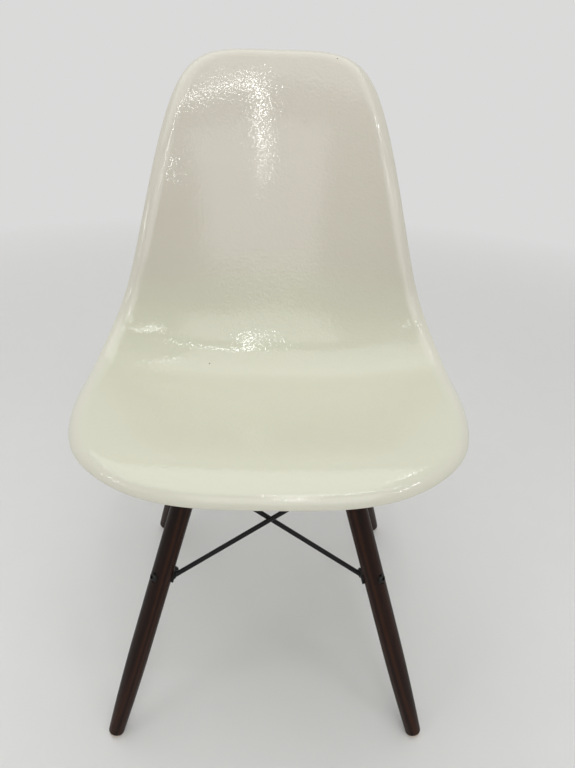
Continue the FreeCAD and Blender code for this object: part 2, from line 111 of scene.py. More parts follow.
def objectPlace(tree, scale=(1, 1, 1), turn=(0, 0, 0)):
    place = addNode(tree, "ShaderNodeTexCoord").outputs["Object"]
    inputs = {"Vector": place, "Scale": scale, "Rotation": turn}
    return addNode(tree, "ShaderNodeMapping", inputs).outputs[0]


def readAttribute(tree, name, output="Fac"):
    return addNode(tree, "ShaderNodeAttribute", attribute_name=name).outputs[output]


def noise(tree, place, scale, detail=2.0, roughness=0.5, distortion=0.0):
    inputs = {"Vector": place, "Scale": scale, "Detail": detail, "Roughness": roughness,
              "Distortion": distortion}
    return addNode(tree, "ShaderNodeTexNoise", inputs).outputs["Fac"]


def ranged(tree, value, low, high, toLow=0.0, toHigh=1.0):
    inputs = {"Value": value, "From Min": low, "From Max": high, "To Min": toLow, "To Max": toHigh}
    return addNode(tree, "ShaderNodeMapRange", inputs, clamp=True).outputs[0]


def mixColour(tree, factor, first, second):
    return addNode(tree, "ShaderNodeMix", {0: factor, 6: first, 7: second}, data_type="RGBA").outputs[2]


def bump(tree, height, strength, distance, normal=None):
    inputs = {"Height": height, "Strength": strength, "Distance": distance}
    if normal:
        inputs["Normal"] = normal
    return addNode(tree, "ShaderNodeBump", inputs).outputs[0]


def newObject(name, data):
    piece = bpy.data.objects.new(name, data)
    bpy.context.scene.collection.objects.link(piece)
    return piece


def newPiece(name, points, faces, material=None, edges=()):
    mesh = bpy.data.meshes.new(name)
    mesh.from_pydata([tuple(point) for point in points], edges, faces)
    if material:
        mesh.materials.append(material)
    if len(faces):
        mesh.shade_smooth()
    mesh.update()
    return newObject(name, mesh)


def plainMesh(piece):
    bpy.context.view_layer.update()
    mesh = bpy.data.meshes.new_from_object(piece.evaluated_get(bpy.context.evaluated_depsgraph_get()))
    mesh.shade_smooth()
    mesh.set_sharp_from_angle(angle=radians(sharpAngle))
    return mesh


def finishPiece(piece, slotName, *nodes):
    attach(piece, "root")
    if nodes:
        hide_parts(*nodes)
    print("made", piece.name, "with", len(piece.data.polygons), "faces")


# the camera stands where the chair was photographed from
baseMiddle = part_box("shell")[0].y + 0.2165       # Y of the middle of the four feet
cameraSizes = {
    "place": (0.0007, baseMiddle - 0.6407, 0.8020), "pitchDown": 0.5216, "turn": 0.0308, "roll": 0.0322,
    "lens": 27.145, "sensor": 36, "nearest": 0.02}


def makeCamera(sizes):
    data = bpy.data.cameras.new("camera")
    data.lens = sizes["lens"]
    data.sensor_width = sizes["sensor"]
    data.clip_start = sizes["nearest"]
    camera = newObject("camera", data)
    pitch, turn, roll = sizes["pitchDown"], sizes["turn"], sizes["roll"]
    ahead = Vector((sin(turn) * cos(pitch), cos(turn) * cos(pitch), -sin(pitch)))
    level = Vector((cos(turn), -sin(turn), 0))
    above = level.cross(ahead)
    right = cos(roll) * level + sin(roll) * above
    up = -sin(roll) * level + cos(roll) * above
    turned = Matrix((right, up, -ahead)).transposed().to_4x4()
    camera.matrix_world = Matrix.Translation(sizes["place"]) @ turned
    bpy.context.scene.camera = camera


makeCamera(cameraSizes)


# a pale floor sweeps up all round, with long strip lamps overhead and soft fill
studioSizes = {
    "floorRadius": 4.2, "sweepRadius": 1.6, "wallTop": 6.0, "sides": 96, "floorColour": (0.80, 0.80, 0.79),
    "backdropColour": (0.70, 0.70, 0.695, 1), "floorRings": (0.5, 1.5, 3.0), "sweepSteps": 24,
    "floorRoughness": 0.7, "toneScale": 14.0, "toneDetail": 6.0, "toneSpread": 0.015, "fadeStart": 0.9,
    "fadeEnd": 2.6, "worldColour": (1.0, 1.0, 1.0, 1), "worldLight": 0.54}
# each lamp's place, its turn in degrees, its width and length, and how bright its face is
lampSizes = {
    "nearStrip": ((0.15, -1.50, 2.40), (0, 0, 2), (0.036, 1.50), 26.0),
    "crossStrip": ((0.62, -0.80, 2.40), (0, 0, -4), (1.05, 0.040), 17.0),
    "rightStrip": ((1.72, -1.55, 2.40), (0, 15, 0), (0.05, 1.00), 24.0),
    "leftStrip": ((-2.60, -1.80, 2.40), (0, -20, 0), (0.20, 1.20), 7.0),
    "rearStrip": ((0.66, 0.62, 2.40), (0, 0, -8), (0.04, 0.80), 7.0),
    "frontSoftbox": ((0.30, -2.80, 2.60), (35, 0, 0), (2.60, 2.00), 1.25),
    "topSoftbox": ((-0.50, 0.30, 2.80), (0, 0, 0), (2.60, 2.60), 1.15),
}


def seenDirectly(tree):
    path = addNode(tree, "ShaderNodeLightPath").outputs
    seen = doMath(tree, "MAXIMUM", path["Is Camera Ray"], path["Is Glossy Ray"])
    return doMath(tree, "MAXIMUM", seen, path["Is Transmission Ray"])


def makeStudio(sizes, lamps):
    profile = [(radius, 0.0) for radius in (*sizes["floorRings"], sizes["floorRadius"])]
    for step in range(1, sizes["sweepSteps"] + 1):
        angle = pi / 2 * step / sizes["sweepSteps"]
        profile.append((sizes["floorRadius"] + sizes["sweepRadius"] * sin(angle),
                        sizes["sweepRadius"] * (1 - cos(angle))))
    profile.append((profile[-1][0], sizes["wallTop"]))
    points = lathePoints(profile, sizes["sides"])
    faces = latheFaces(len(profile), sizes["sides"])[:-1]
    material, tree, shader = newFinish("studioFloor", {"Roughness": sizes["floorRoughness"]})
    place = objectPlace(tree)
    spread = sizes["toneSpread"]
    tone = noise(tree, place, sizes["toneScale"], sizes["toneDetail"])
    tone = ranged(tree, tone, 0.0, 1.0, 1 - spread, 1 + spread)
    colour = addNode(tree, "ShaderNodeVectorMath", {0: sizes["floorColour"], 1: tone}, operation="MULTIPLY")
    setInputs(tree, shader, {"Base Color": colour.outputs[0]})
    # far from the chair all shows one plain pale tone, and nearby the floor keeps its shadow
    away = addNode(tree, "ShaderNodeVectorMath", {0: place}, operation="LENGTH").outputs["Value"]
    faded = ranged(tree, away, sizes["fadeStart"], sizes["fadeEnd"])
    glow = addNode(tree, "ShaderNodeEmission", {"Color": sizes["backdropColour"], "Strength": 1.0})
    share = doMath(tree, "MULTIPLY", faded, seenDirectly(tree))
    mixed = addNode(tree, "ShaderNodeMixShader", {0: share, 1: shader.outputs[0], 2: glow.outputs[0]})
    setInputs(tree, tree.nodes["Material Output"], {"Surface": mixed.outputs[0]})
    floor = newPiece("studio_floor", points, faces, material)
    floor.data.flip_normals()

    world = bpy.data.worlds.new("studioWorld")
    bpy.context.scene.world = world
    world.use_nodes = True
    setInputs(world.node_tree, world.node_tree.nodes["Background"],
              {"Color": sizes["worldColour"], "Strength": sizes["worldLight"]})

    for name, (spot, turns, (width, length), radiance) in lamps.items():
        light = bpy.data.lights.new(name, "AREA")
        light.shape = "RECTANGLE"
        light.size, light.size_y = width, length
        light.energy = radiance * pi * width * length
        lamp = newObject(name, light)
        lamp.location = spot
        lamp.rotation_euler = [radians(turn) for turn in turns]
        lamp.visible_camera = False


makeStudio(studioSizes, lampSizes)
bpy.context.scene.view_settings.view_transform = "Standard"
print("studio ready")


shellFinish = {
    # the back's cream is darker and warmer as painted shade and a painted warm reflected tint
    "seatCream": (0.665, 0.670, 0.535, 1), "backCreamPaintedShade": (0.620, 0.582, 0.495, 1),
    # the pale cream is random tone in patches and also a painted sheen on the rolled rim
    "paleCreamAndRimSheen": (0.690, 0.672, 0.590, 1), "cutEdge": (0.700, 0.660, 0.560, 1),
    "seatTop": 0.46, "backStart": 0.56, "patchScale": 6.0, "patchDrift": 0.12, "patchShow": 0.22,
    "rimReach": 0.6, "rimPaintedSheen": 0.5, "cutStart": 0.93,
    # glass strands under the surface, as the side they run along and their turn
    "strandTint": (0.40, 0.37, 0.27, 1), "strandShow": 0.03, "strandShowUnder": 0.20,
    "strandSides": ((1, (0.5, 0.2, 0.3)), (0, (0.1, 0.9, 1.4)), (2, (0.7, 0.3, 2.4))),
    "strandFine": 1900, "strandLong": 60, "strandRange": (0.58, 0.72),
    # the sheen and the moulded skin
    "specular": 0.12, "coatRoughness": 0.04, "coatIndex": 1.5,
    "roughness": (0.30, 0.42), "roughnessScale": 90.0, "underRoughness": 0.14,
    "waveScale": 45.0, "waveDepth": 0.00012,
    "wrinkleScale": 240.0, "wrinkleBend": 0.6, "wrinkleDepth": 0.00016,
    "creaseScale": 180.0, "creaseBend": 0.8, "creaseWidth": 0.10, "creaseDepth": 0.000015,
    # two dark specks, each with its radius
    "marks": [((-0.0891, 0.0429, 0.4121), 0.0012), ((0.0847, 0.2396, 0.7949), 0.0012)],
    "markColour": (0.045, 0.035, 0.025, 1), "markShow": 0.85, "markSolid": 0.6}


def makeShellFinish(sizes):
    material, tree, shader = newFinish("agedCreamMoulding", {
        "Specular IOR Level": sizes["specular"], "Coat Weight": 1.0, "Coat IOR": sizes["coatIndex"],
        "Coat Roughness": sizes["coatRoughness"]})
    place = objectPlace(tree)
    under, lip = readAttribute(tree, "under"), readAttribute(tree, "lip")
    # the cream is greener on the seat; painted shade and a painted warm reflected tint make it darker and
    # warmer up the back, random patches shift that change and add paler tone, and a painted sheen makes it
    # paler where the rim rolls
    patches = noise(tree, place, sizes["patchScale"], 3.0)
    height = addNode(tree, "ShaderNodeSeparateXYZ", {0: place}).outputs["Z"]
    drift = doMath(tree, "MULTIPLY", doMath(tree, "SUBTRACT", patches, 0.5), sizes["patchDrift"])
    upward = ranged(tree, doMath(tree, "ADD", height, drift), sizes["seatTop"], sizes["backStart"])
    colour = mixColour(tree, upward, sizes["seatCream"], sizes["backCreamPaintedShade"])
    patchShow = ranged(tree, patches, *noiseRange, 0.0, sizes["patchShow"])
    colour = mixColour(tree, patchShow, colour, sizes["paleCreamAndRimSheen"])
    # painted sheen: the rolled rim is mixed towards the pale cream
    rimPaintedSheen = ranged(tree, lip, 0.0, sizes["rimReach"], 0.0, sizes["rimPaintedSheen"])
    colour = mixColour(tree, rimPaintedSheen, colour, sizes["paleCreamAndRimSheen"])
    strands = 0.0
    for long, turn in sizes["strandSides"]:
        stretch = [sizes["strandLong"] if side == long else sizes["strandFine"] for side in range(3)]
        layer = noise(tree, objectPlace(tree, stretch, turn), 1.0, 1.0)
        strands = doMath(tree, "MAXIMUM", strands, ranged(tree, layer, *sizes["strandRange"]))
    show = ranged(tree, under, 0.0, 1.0, sizes["strandShow"], sizes["strandShowUnder"])
    colour = mixColour(tree, doMath(tree, "MULTIPLY", strands, show), colour, sizes["strandTint"])
    colour = mixColour(tree, ranged(tree, lip, sizes["cutStart"], 1.0), colour, sizes["cutEdge"])
    for spot, radius in sizes["marks"]:
        away = addNode(tree, "ShaderNodeVectorMath", {0: place, 1: spot}, operation="DISTANCE")
        shown = ranged(tree, away.outputs["Value"], radius * sizes["markSolid"], radius,
                       sizes["markShow"], 0.0)
        colour = mixColour(tree, shown, colour, sizes["markColour"])
    rough = noise(tree, place, sizes["roughnessScale"], 3.0)
    rough = ranged(tree, rough, *noiseRange, *sizes["roughness"])
    rough = doMath(tree, "ADD", rough, doMath(tree, "MULTIPLY", under, sizes["underRoughness"]))
    # long waves, then rounded wrinkles, then creases between them
    waved = bump(tree, noise(tree, place, sizes["waveScale"], 1.0), 1.0, sizes["waveDepth"])
    wrinkle = noise(tree, place, sizes["wrinkleScale"], 0.0, 0.5, sizes["wrinkleBend"])
    wrinkled = bump(tree, wrinkle, 1.0, sizes["wrinkleDepth"], waved)
    crease = noise(tree, place, sizes["creaseScale"], 0.0, 0.5, sizes["creaseBend"])
    crease = doMath(tree, "ABSOLUTE", doMath(tree, "SUBTRACT", crease, 0.5))
    crease = ranged(tree, crease, 0.0, sizes["creaseWidth"])
    creased = bump(tree, crease, 1.0, sizes["creaseDepth"], wrinkled)
    setInputs(tree, shader, {"Base Color": colour, "Roughness": rough, "Normal": creased,
                             "Coat Normal": creased})
    return material


woodFinish = {
    "dark": (0.0090, 0.0027, 0.0012, 1), "light": (0.037, 0.0115, 0.0048, 1), "specular": 0.16,
    "bandStretch": (55, 55, 3.0), "bandBend": 0.6, "ringStretch": (40, 90, 2.0), "ringScale": 1.2,
    "ringBend": 5.0, "ringShare": 0.35, "toneRange": (0.3, 0.72), "poreStretch": (1400, 1400, 45),
    "poreRange": (0.60, 0.68), "poreShow": 0.7, "poreDepth": 0.00006, "poreStrength": 0.6,
    "poreColour": (0.006, 0.003, 0.002, 1), "roughness": (0.34, 0.46), "poreRoughness": 0.2}


def makeWoodFinish(sizes):
    material, tree, shader = newFinish("darkWalnut", {"Specular IOR Level": sizes["specular"]})
    grain = readAttribute(tree, "grain", "Vector")
    bands, rings, fine = (
        addNode(tree, "ShaderNodeMapping", {"Vector": grain, "Scale": sizes[stretch]}).outputs[0]
        for stretch in ("bandStretch", "ringStretch", "poreStretch"))
    broad = noise(tree, bands, 1.0, 4.0, 0.6, sizes["bandBend"])
    waves = addNode(tree, "ShaderNodeTexWave", {
        "Vector": rings, "Scale": sizes["ringScale"], "Distortion": sizes["ringBend"], "Detail": 3.0,
        "Detail Scale": 0.8}).outputs["Fac"]
    tone = doMath(tree, "ADD", doMath(tree, "MULTIPLY", broad, 1 - sizes["ringShare"]),
                  doMath(tree, "MULTIPLY", waves, sizes["ringShare"]))
    colour = mixColour(tree, ranged(tree, tone, *sizes["toneRange"]), sizes["dark"], sizes["light"])
    pores = ranged(tree, noise(tree, fine, 1.0, 2.0, 0.6), *sizes["poreRange"])
    poreShow = doMath(tree, "MULTIPLY", pores, sizes["poreShow"])
    colour = mixColour(tree, poreShow, colour, sizes["poreColour"])
    rough = doMath(tree, "ADD", ranged(tree, broad, *noiseRange, *sizes["roughness"]),
                   doMath(tree, "MULTIPLY", pores, sizes["poreRoughness"]))
    sunken = bump(tree, doMath(tree, "SUBTRACT", 1.0, pores), sizes["poreStrength"], sizes["poreDepth"])
    setInputs(tree, shader, {"Base Color": colour, "Roughness": rough, "Normal": sunken})
    return material


# colour, roughness, metal share, gloss, grain scale, grain depth, colour where worn, worn share
paintFinishes = {
    "blackFramePaint": ((0.006, 0.006, 0.0065), 0.34, 0.0, 0.25, 1500.0, 3e-5, (0.05, 0.047, 0.045), 0.03),
    "mountRubber": ((0.024, 0.023, 0.022), 0.72, 0.0, 0.5, 900.0, 6e-5, (0.07, 0.068, 0.064), 0.12),
    "paleGlidePlastic": ((0.66, 0.57, 0.50), 0.42, 0.0, 0.5, 1200.0, 4e-5, (0.28, 0.22, 0.18), 0.06),
    "blackenedSteel": ((0.042, 0.040, 0.038), 0.34, 1.0, 0.5, 1800.0, 2e-5, (0.32, 0.31, 0.30), 0.02),
    "zincPlatedSteel": ((0.62, 0.62, 0.60), 0.33, 1.0, 0.5, 700.0, 2e-5, (0.40, 0.39, 0.36), 0.08),
}
# what all of them share
paintShared = {
    "patchScale": 40.0, "spotScale": 160.0, "spotLevel": 0.72, "spotEdge": 0.02, "patchTint": 0.75,
    "roughScale": 220.0, "smoother": 0.07, "rougher": 0.1, "grainShow": 0.7}


def makeFinePaint(name, sizes, shared):
    base, roughness, metal, gloss, grainScale, grainDepth, worn, wornShare = sizes
    material, tree, shader = newFinish(name, {"Metallic": metal, "Specular IOR Level": gloss})
    place = objectPlace(tree)
    patches = noise(tree, place, shared["patchScale"], 4.0, 0.6)
    # worn spots show inside some of the patches
    spotStart = shared["spotLevel"] - wornShare
    spots = noise(tree, place, shared["spotScale"], 5.0, 0.7)
    rubbed = doMath(tree, "MULTIPLY", ranged(tree, spots, spotStart, spotStart + shared["spotEdge"]),
                    ranged(tree, patches, 0.5, 0.6))
    darker = tuple(shared["patchTint"] * part for part in base)
    shade = mixColour(tree, ranged(tree, patches, *noiseRange), (*base, 1), (*darker, 1))
    rough = ranged(tree, noise(tree, place, shared["roughScale"], 3.0), *noiseRange,
                   roughness - shared["smoother"], roughness + shared["rougher"])
    grain = bump(tree, noise(tree, place, grainScale, 2.0), shared["grainShow"], grainDepth)
    shade = mixColour(tree, rubbed, shade, (*worn, 1))
    setInputs(tree, shader, {"Base Color": shade, "Roughness": rough, "Normal": grain})
    return material


shellMoulding = makeShellFinish(shellFinish)
darkWood = makeWoodFinish(woodFinish)
blackPaint, blackRubber, paleGlide, blackSteel, zincSteel = (
    makeFinePaint(name, sizes, paintShared) for name, sizes in paintFinishes.items())
print("finishes ready")


# the shell is one moulding: its sides rise from a middle line and its rim rolls outwards
shellSizes = {
    # the line down the middle, from the front edge to the top
    "lineLength": 0.745, "frontHeight": 0.4305, "seatSlope": 12.8, "frontFall": 26.0, "fallReach": 0.045,
    "creaseStart": 0.185, "creaseEnd": 0.430, "backAngle": 69.4, "topLean": 12.0, "spare": 0.060,
    # the dish, which is flatter over the mounts and evenly curved up the back
    "halfWidth": 0.211, "depth": 0.054, "seatPower": 2.4, "backPower": 2.05, "mountsEnd": 0.310,
    "softening": 0.010, "liftFront": -4.0, "liftTop": 62.0,
    # the wall and the rolled rim
    "thickness": 0.0036, "rimLength": 0.024, "rimTurn": 64.0, "rimEasing": 1.15, "lipRound": 0.0010,
    "lipPower": 0.7,
    # how finely the form is worked out
    "outlineSpacing": 0.75, "gridMiddle": 0.4, "gridCells": 150, "rimRings": 13, "lipRings": 8,
    "rimSteps": 240, "stride": 0.0001, "probe": 0.0002,
}
# the outline as shares across and along, then the sides' rise and width by share along
shellOutline = [
    (0, 0.003), (0.607, 0.0215), (0.882, 0.0805), (0.981, 0.168), (1, 0.275), (0.976, 0.389),
    (0.874, 0.503), (0.78, 0.624), (0.699, 0.752), (0.607, 0.879), (0.536, 0.941), (0.431, 0.981), (0, 1)]
sideRise = [
    (-0.04, -0.037), (0.08, 0.148), (0.2, 0.481), (0.336, 0.833), (0.47, 1), (0.604, 0.87), (0.738, 0.667),
    (0.872, 0.481), (1.034, 0.241)]
riseWidth = [(-0.04, 0.995), (0.2, 1.005), (0.403, 0.972), (0.604, 0.815), (0.805, 0.687), (1.034, 0.559)]


def smoothCurve(places, values, levelEnds=False):
    places, values = np.array(places, float), np.array(values, float)
    steps = np.diff(places)
    rises = np.diff(values) / steps
    matrix, right = np.eye(len(places)), np.zeros(len(places))
    for i in range(1, len(places) - 1):
        matrix[i, i - 1:i + 2] = steps[i - 1], 2 * (steps[i - 1] + steps[i]), steps[i]
        right[i] = 6 * (rises[i] - rises[i - 1])
    if levelEnds:
        matrix[0, :2] = 2 * steps[0], steps[0]
        matrix[-1, -2:] = steps[-1], 2 * steps[-1]
        right[0], right[-1] = 6 * rises[0], -6 * rises[-1]
    bends = np.linalg.solve(matrix, right)

    def valueAndSlope(at):
        i = np.clip(np.searchsorted(places, at) - 1, 0, len(places) - 2)
        ahead, behind, step = places[i + 1] - at, at - places[i], steps[i]
        value = (bends[i] * ahead ** 3 + bends[i + 1] * behind ** 3) / (6 * step)
        value = value + (values[i] / step - bends[i] * step / 6) * ahead
        value = value + (values[i + 1] / step - bends[i + 1] * step / 6) * behind
        slope = (bends[i + 1] * behind ** 2 - bends[i] * ahead ** 2) / (2 * step)
        return value, slope + rises[i] - (bends[i + 1] - bends[i]) * step / 6

    return valueAndSlope


class ShellForm:
    def __init__(self, sizes, outline, rise, width):
        self.sizes = sizes
        length, stride = sizes["lineLength"], sizes["stride"]
        self.along = np.arange(-sizes["spare"], length + sizes["spare"], stride)
        slopes = self.heading(self.along + stride / 2)
        y, z = summed(np.cos(slopes) * stride)[:-1], summed(np.sin(slopes) * stride)[:-1]
        self.y = y - np.interp(0.0, self.along, y)
        self.z = z - np.interp(0.0, self.along, z) + sizes["frontHeight"]
        self.rise = smoothCurve(*(np.array(rise) * (length, sizes["depth"])).T)
        self.width = smoothCurve(*(np.array(width) * (length, sizes["halfWidth"])).T)
        points = np.array(outline) * (sizes["halfWidth"], length)
        places = [0.0]
        for (x0, v0), (x1, v1) in zip(points, points[1:]):
            places.append(places[-1] + hypot(x1 - x0, v1 - v0) ** sizes["outlineSpacing"])
        self.half = places[-1]
        self.outlineAcross = smoothCurve(places, points[:, 0])
        self.outlineAlong = smoothCurve(places, points[:, 1], levelEnds=True)

    def heading(self, along):
        sizes = self.sizes
        fall = sizes["frontFall"] * np.exp(-(np.maximum(along, 0) / sizes["fallReach"]) ** 2)
        share = np.clip((along - sizes["creaseStart"]) / (sizes["creaseEnd"] - sizes["creaseStart"]), 0, 1)
        turn = (sizes["seatSlope"] + sizes["backAngle"]) * share ** 3 * (share * (6 * share - 15) + 10)
        past = np.maximum(along - sizes["creaseEnd"], 0) / (sizes["lineLength"] - sizes["creaseEnd"])
        return np.radians(fall - sizes["seatSlope"] + turn - sizes["topLean"] * past ** 2)

    def dish(self, across, along):
        sizes = self.sizes
        angle = np.radians(sizes["liftFront"] + (sizes["liftTop"] - sizes["liftFront"]) * along
                           / sizes["lineLength"])
        share = np.hypot(across, sizes["softening"]) / self.width(along)[0]
        # past the mounts the dish turns from flat-bottomed to evenly curved
        past = np.clip((along - sizes["mountsEnd"]) / (sizes["creaseEnd"] - sizes["mountsEnd"]), 0, 1)
        seatPower, backPower = sizes["seatPower"], sizes["backPower"]
        power = seatPower + (backPower - seatPower) * past * past * (3 - 2 * past)
        rise = self.rise(along)[0] * share ** power
        y = np.interp(along, self.along, self.y) - rise * np.sin(angle)
        z = np.interp(along, self.along, self.z) + rise * np.cos(angle)
        return np.stack([across + 0 * y, y, z], axis=-1)

    def outlineAt(self, share):
        mirror = share > 0.5
        place = self.half * 2 * np.where(mirror, 1 - share, share)
        x, dx = self.outlineAcross(place)
        v, dv = self.outlineAlong(place)
        length = np.hypot(dx, dv)
        side = np.where(mirror, -1, 1)
        return side * x, v, side * dv / length, -dx / length

    def directions(self, x, v, outX, outV):
        stepX, stepV = self.sizes["probe"] * outX, self.sizes["probe"] * outV
        ahead = self.dish(x + stepX, v + stepV) - self.dish(x - stepX, v - stepV)
        onward = self.dish(x - stepV, v + stepX) - self.dish(x + stepV, v - stepX)
        outward = unit(ahead)
        return outward, unit(np.cross(outward, onward))


def makeShell(sizes):
    form = ShellForm(sizes, shellOutline, sideRise, riseWidth)
    cells, thickness = sizes["gridCells"], sizes["thickness"]
    # a square grid pulled round to a disc, then out to the outline
    u, v = np.meshgrid(np.linspace(-1, 1, cells + 1), np.linspace(-1, 1, cells + 1), indexing="ij")
    discX, discY = u * np.sqrt(1 - v * v / 2), v * np.sqrt(1 - u * u / 2)
    radius = np.minimum(np.hypot(discX, discY), 1)
    share = ((np.degrees(np.arctan2(discY, discX)) + 90) / 360) % 1
    edgeX, edgeV, outX, outV = form.outlineAt(share)
    middle = sizes["gridMiddle"] * sizes["lineLength"]
    x, along = radius * edgeX, middle + radius * (edgeV - middle)
    top = form.dish(x, along).reshape(-1, 3)
    normals = form.directions(x, along, 1.0, 0.0)[1].reshape(-1, 3)
    # the grid's points by number, and its edge as one ring
    number = np.arange((cells + 1) ** 2).reshape(cells + 1, cells + 1)
    ring = np.concatenate([number[:-1, 0], number[-1, :-1], number[:0:-1, -1], number[0, :0:-1]])
    edgeX, edgeV, outX, outV = (part.reshape(-1)[ring] for part in (edgeX, edgeV, outX, outV))
    outward, normal = form.directions(edgeX, edgeV, outX, outV)

    # the rim's run, its drop and its slope along its own length
    steps = sizes["rimSteps"]
    walk = np.linspace(0, 1, steps + 1)
    slopes, middles = (np.radians(sizes["rimTurn"]) * part ** sizes["rimEasing"]
                       for part in (walk, (walk[1:] + walk[:-1]) / 2))
    stride = sizes["rimLength"] / steps
    outs, downs = summed(np.cos(middles) * stride), summed(np.sin(middles) * stride)

    def rimRing(share, depth, past=0.0):
        slope, out, down = (np.interp(share, walk, part) for part in (slopes, outs, downs))
        place = top[ring] + outward * out - normal * down
        local = normal * cos(slope) + outward * sin(slope)
        ahead = outward * cos(slope) - normal * sin(slope)
        return place - local * depth + ahead * past

    lipStart = 1 - sizes["lipRound"] / sizes["rimLength"]
    shares = [lipStart * (step + 1) / sizes["rimRings"] for step in range(sizes["rimRings"])]
    rings = [rimRing(share, 0.0) for share in shares]
    lips = list(shares)
    for step in range(1, sizes["lipRings"]):
        angle = pi * step / sizes["lipRings"]
        down, past = (copysign(abs(part) ** sizes["lipPower"], part)
                      for part in (cos(angle), sin(angle)))
        rings.append(rimRing(lipStart, thickness / 2 * (1 - down), sizes["lipRound"] * past))
        lips.append(1.0)
    rings += [rimRing(share, thickness) for share in reversed(shares)]
    lips += list(reversed(shares))

    points = np.concatenate([top, *rings, top - normals * thickness])
    low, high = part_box("shell")
    points[:, 1] -= (points[:, 1].min() + points[:, 1].max()) / 2 - (low.y + high.y) / 2
    first = len(top)
    last = first + len(rings) * len(ring)
    squares = np.stack([number[:-1, :-1], number[1:, :-1], number[1:, 1:], number[:-1, 1:]], -1)
    squares = squares.reshape(-1, 4)
    faces = [squares, squares[:, ::-1] + last]
    loops = [ring] + [first + step * len(ring) + np.arange(len(ring)) for step in range(len(rings))]
    loops.append(ring + last)
    for inner, outer in zip(loops, loops[1:]):
        faces.append(np.stack([inner, outer, np.roll(outer, -1), np.roll(inner, -1)], -1))
    shell = newPiece("shell_moulding", points, np.concatenate(faces).tolist(), shellMoulding)
    under = np.zeros(len(points))
    under[first + (len(rings) - len(shares)) * len(ring):] = 1
    lip = np.zeros(len(points))
    lip[first:last] = np.repeat(lips, len(ring))
    for name, values in (("under", under), ("lip", lip)):
        shell.data.attributes.new(name, "FLOAT", "POINT").data.foreach_set("value", values)
    return shell


shell = makeShell(shellSizes)
finishPiece(shell, "shell_plastic", "shell")


# a leg is turned round its own axis, then set at its place and lean
legSizes = {
    "footHalfWidth": 0.2018, "footHalfDepth": 0.1973, "lean": 0.2990, "radius": 0.0133,
    "footRadius": 0.0102, "taperLength": 0.150, "edge": 0.0012, "boltDrop": 0.053, "boltSpacing": 0.1025,
    "aboveBolt": 0.0195, "glideRadius": 0.0084, "glideFlange": 0.0034, "domeRadius": 0.015,
    "domeFlat": 0.0004, "spotRadius": 0.0069, "spotFlat": 0.0113, "spotReach": 0.01, "spotSides": 64,
    "sides": 96, "edgeRows": 6, "taperRows": 40, "barrelRows": 34, "grainOffset": (0.31, 0.17, 0.83)}
axisLength = sqrt(1 + 2 * legSizes["lean"] ** 2)
legEnd = ((legSizes["domeRadius"] - legSizes["domeFlat"]) * axisLength + legSizes["glideFlange"]
          - sqrt(legSizes["domeRadius"] ** 2 - legSizes["glideRadius"] ** 2))
plates = {-1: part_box("mount_front_left")[0].z, 1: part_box("mount_rear_left")[0].z}
upperBolt = plates[1] - legSizes["boltDrop"]
lowerBolt = upperBolt - legSizes["boltSpacing"]
legTop = upperBolt + legSizes["aboveBolt"]


# X points outwards from the leg, and Z up along it from the floor
def legFrame(side, end):
    axis = Vector((-side * legSizes["lean"], -end * legSizes["lean"], 1)).normalized()
    outward = Vector((side, end, 0))
    outward = (outward - axis * outward.dot(axis)).normalized()
    foot = Vector((side * legSizes["footHalfWidth"], baseMiddle + end * legSizes["footHalfDepth"], 0))
    turned = Matrix((outward, axis.cross(outward), axis)).transposed().to_4x4()
    return Matrix.Translation(foot) @ turned


legFrames = {corner: legFrame(side, end) for corner, (side, end) in corners.items()}


def legProfile(sizes):
    top = legTop * axisLength
    edge, radius, foot, end = sizes["edge"], sizes["radius"], sizes["footRadius"], legEnd
    quarter = np.linspace(0, pi / 2, sizes["edgeRows"])
    profile = [(foot - edge + edge * sin(a), end + edge * (1 - cos(a))) for a in quarter]
    for step in range(1, sizes["taperRows"] + 1):
        share = step / sizes["taperRows"]
        profile.append((radius - (radius - foot) * (1 - share) ** 2,
                        end + edge + (sizes["taperLength"] - edge) * share))
    for z in np.linspace(end + sizes["taperLength"], top - edge, sizes["barrelRows"])[1:]:
        profile.append((radius, z))
    return profile + [(radius - edge + edge * cos(a), top - edge + edge * sin(a)) for a in quarter[1:]]


def makeLegs(sizes):
    profile, sides = legProfile(sizes), sizes["sides"]
    body = newPiece("leg_body", lathePoints(profile, sides), latheFaces(len(profile), sides), darkWood)
    cutters = []
    for height in (lowerBolt, upperBolt):
        column = [(sizes["spotRadius"], sizes["spotFlat"] + reach) for reach in (0, sizes["spotReach"])]
        points = [(z, y, height * axisLength - x) for x, y, z in lathePoints(column, sizes["spotSides"])]
        cutters.append(newPiece("spotface_cutter", points, latheFaces(2, sizes["spotSides"])))
    for cutter in cutters:
        cut = body.modifiers.new("spotface", "BOOLEAN")
        cut.operation, cut.solver, cut.object = "DIFFERENCE", "EXACT", cutter
    mesh = plainMesh(body)
    for piece in [body] + cutters:
        bpy.data.objects.remove(piece)
    for number, (corner, legPlace) in enumerate(legFrames.items()):
        legMesh = mesh.copy()
        grain = legMesh.attributes.new("grain", "FLOAT_VECTOR", "POINT")
        offset = np.array(sizes["grainOffset"]) * number       # so that no two legs have the same grain
        local = np.array([vertex.co for vertex in legMesh.vertices]) + offset
        grain.data.foreach_set("vector", local.ravel())
        legMesh.transform(legPlace)
        finishPiece(newObject(f"turned_leg_{corner}", legMesh), "leg_wood", f"leg_{corner}")


makeLegs(legSizes)


# how finely small parts are made, and how hexagons' corners are cut
fineness = {
    "threadSides": 36, "threadRows": 40, "domeSides": 48, "domeRows": 12, "ringSides": 48, "hexSides": 60,
    "hexRows": 16, "capShare": 0.97, "capSlope": 1.6, "mergeDistance": 0.00001, "axisReach": 0.000001}


